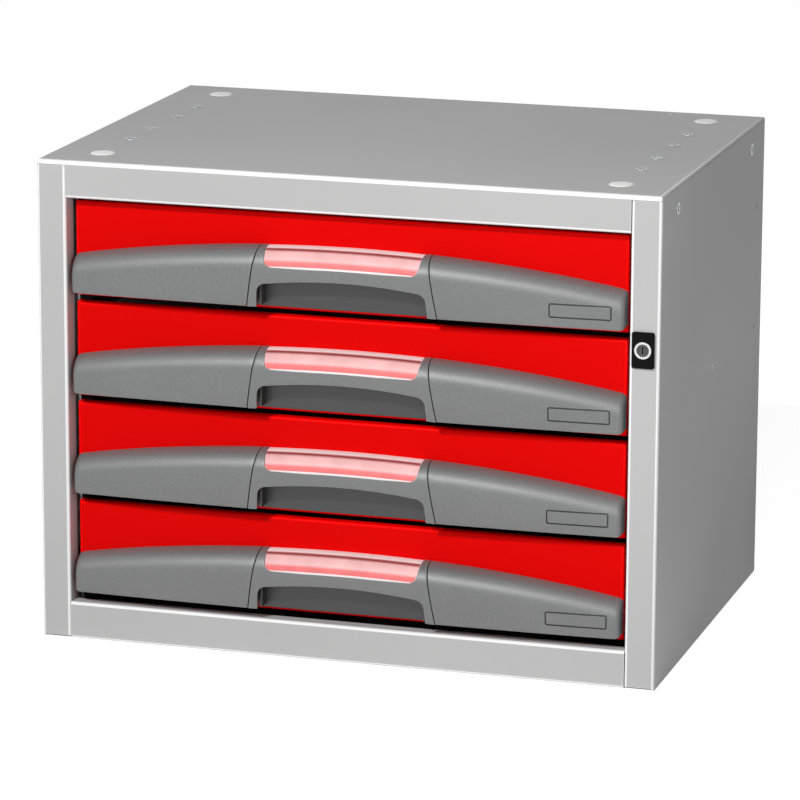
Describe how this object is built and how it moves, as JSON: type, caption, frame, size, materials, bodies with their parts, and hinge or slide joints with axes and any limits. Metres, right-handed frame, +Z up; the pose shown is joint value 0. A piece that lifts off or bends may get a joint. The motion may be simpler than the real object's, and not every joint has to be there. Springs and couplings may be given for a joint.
{
  "type": "drawer cabinet",
  "caption": "Steel workshop cabinet whose drawers run on ball slides behind full-width moulded bow handles, all held by a single key lock in the front post.",
  "frame": {"origin": "centre of the cabinet's base, on the surface it stands on", "axes": "+X to the right seen from the front, +Y to the back, +Z up"},
  "size_m": [0.5718, 0.4209, 0.4416],
  "materials": {
    "case_paint": "light grey powder coat, satin",
    "drawer_red": "signal red powder coat, satin gloss",
    "tray_paint": "grey powder coat",
    "zinc_sheet": "zinc plated sheet steel",
    "slide_steel": "bright steel balls in a steel cage",
    "bright_zinc": "bright zinc plate",
    "lock_metal": "polished nickel",
    "handle_plastic": "fine grained grey moulding",
    "clear_cover": "clear moulded plastic",
    "white_plastic": "white snap-in plug",
    "black_plastic": "black moulding"
  },
  "bodies": {
    "cabinet": {"top_panel": "case_paint", "bottom_panel": "case_paint", "left_side_panel": "case_paint", "right_side_panel": "case_paint", "back_panel": "case_paint", "left_front_upright": "zinc_sheet", "right_front_upright": "zinc_sheet", "left_rear_upright": "zinc_sheet", "right_rear_upright": "zinc_sheet", "hole_plugs": "white_plastic", "threaded_inserts": "bright_zinc", "panel_rivets": "case_paint", "lock_plate": "black_plastic", "lock_housing": "lock_metal", "lock_nut": "zinc_sheet", "bar_guides": "black_plastic", "drawer_1_outer_slides": "zinc_sheet", "drawer_2_outer_slides": "zinc_sheet", "drawer_3_outer_slides": "zinc_sheet", "drawer_4_outer_slides": "zinc_sheet"},
    "lock_barrel": {"lock_barrel": "lock_metal", "lock_cam": "zinc_sheet"},
    "locking_bar": {"locking_bar": "zinc_sheet"},
    "drawer_1": {"drawer_1_front": "drawer_red", "drawer_1_tray": "tray_paint", "drawer_1_handle_centre": "handle_plastic", "drawer_1_handle_left_wing": "handle_plastic", "drawer_1_handle_right_wing": "handle_plastic", "drawer_1_label_window": "clear_cover", "drawer_1_handle_screws": "bright_zinc", "drawer_1_inner_slides": "zinc_sheet"},
    "ball_cages_1": {"drawer_1_ball_cages": "slide_steel"},
    "drawer_2": {"drawer_2_front": "drawer_red", "drawer_2_tray": "tray_paint", "drawer_2_handle_centre": "handle_plastic", "drawer_2_handle_left_wing": "handle_plastic", "drawer_2_handle_right_wing": "handle_plastic", "drawer_2_label_window": "clear_cover", "drawer_2_handle_screws": "bright_zinc", "drawer_2_inner_slides": "zinc_sheet"},
    "ball_cages_2": {"drawer_2_ball_cages": "slide_steel"},
    "drawer_3": {"drawer_3_front": "drawer_red", "drawer_3_tray": "tray_paint", "drawer_3_handle_centre": "handle_plastic", "drawer_3_handle_left_wing": "handle_plastic", "drawer_3_handle_right_wing": "handle_plastic", "drawer_3_label_window": "clear_cover", "drawer_3_handle_screws": "bright_zinc", "drawer_3_inner_slides": "zinc_sheet"},
    "ball_cages_3": {"drawer_3_ball_cages": "slide_steel"},
    "drawer_4": {"drawer_4_front": "drawer_red", "drawer_4_tray": "tray_paint", "drawer_4_handle_centre": "handle_plastic", "drawer_4_handle_left_wing": "handle_plastic", "drawer_4_handle_right_wing": "handle_plastic", "drawer_4_label_window": "clear_cover", "drawer_4_handle_screws": "bright_zinc", "drawer_4_inner_slides": "zinc_sheet"},
    "ball_cages_4": {"drawer_4_ball_cages": "slide_steel"}
  },
  "joints": [
    {"name": "drawer_1_slide", "type": "slide", "parent": "cabinet", "child": "drawer_1", "axis": [0, -1, 0], "range_m": [0, 0.26]},
    {"name": "ball_cages_1_slide", "type": "slide", "parent": "cabinet", "child": "ball_cages_1", "axis": [0, -1, 0], "range_m": [0, 0.13]},
    {"name": "drawer_2_slide", "type": "slide", "parent": "cabinet", "child": "drawer_2", "axis": [0, -1, 0], "range_m": [0, 0.26]},
    {"name": "ball_cages_2_slide", "type": "slide", "parent": "cabinet", "child": "ball_cages_2", "axis": [0, -1, 0], "range_m": [0, 0.13]},
    {"name": "drawer_3_slide", "type": "slide", "parent": "cabinet", "child": "drawer_3", "axis": [0, -1, 0], "range_m": [0, 0.26]},
    {"name": "ball_cages_3_slide", "type": "slide", "parent": "cabinet", "child": "ball_cages_3", "axis": [0, -1, 0], "range_m": [0, 0.13]},
    {"name": "drawer_4_slide", "type": "slide", "parent": "cabinet", "child": "drawer_4", "axis": [0, -1, 0], "range_m": [0, 0.26]},
    {"name": "ball_cages_4_slide", "type": "slide", "parent": "cabinet", "child": "ball_cages_4", "axis": [0, -1, 0], "range_m": [0, 0.13]},
    {"name": "lock_turn", "type": "hinge", "parent": "cabinet", "child": "lock_barrel", "pos_m": [0.2704, -0.205, 0.305], "axis": [0, -1, 0], "range_deg": [0, 90]},
    {"name": "locking_bar_slide", "type": "slide", "parent": "cabinet", "child": "locking_bar", "axis": [0, 0, -1], "range_m": [0, 0.01414]}
  ],
  "couplings": [
    {"joint": "ball_cages_1_slide", "follows": "drawer_1_slide", "ratio": 0.5},
    {"joint": "ball_cages_2_slide", "follows": "drawer_2_slide", "ratio": 0.5},
    {"joint": "ball_cages_3_slide", "follows": "drawer_3_slide", "ratio": 0.5},
    {"joint": "ball_cages_4_slide", "follows": "drawer_4_slide", "ratio": 0.5},
    {"joint": "lock_turn", "follows": "locking_bar_slide", "rad_per_m": 111.07}
  ]
}
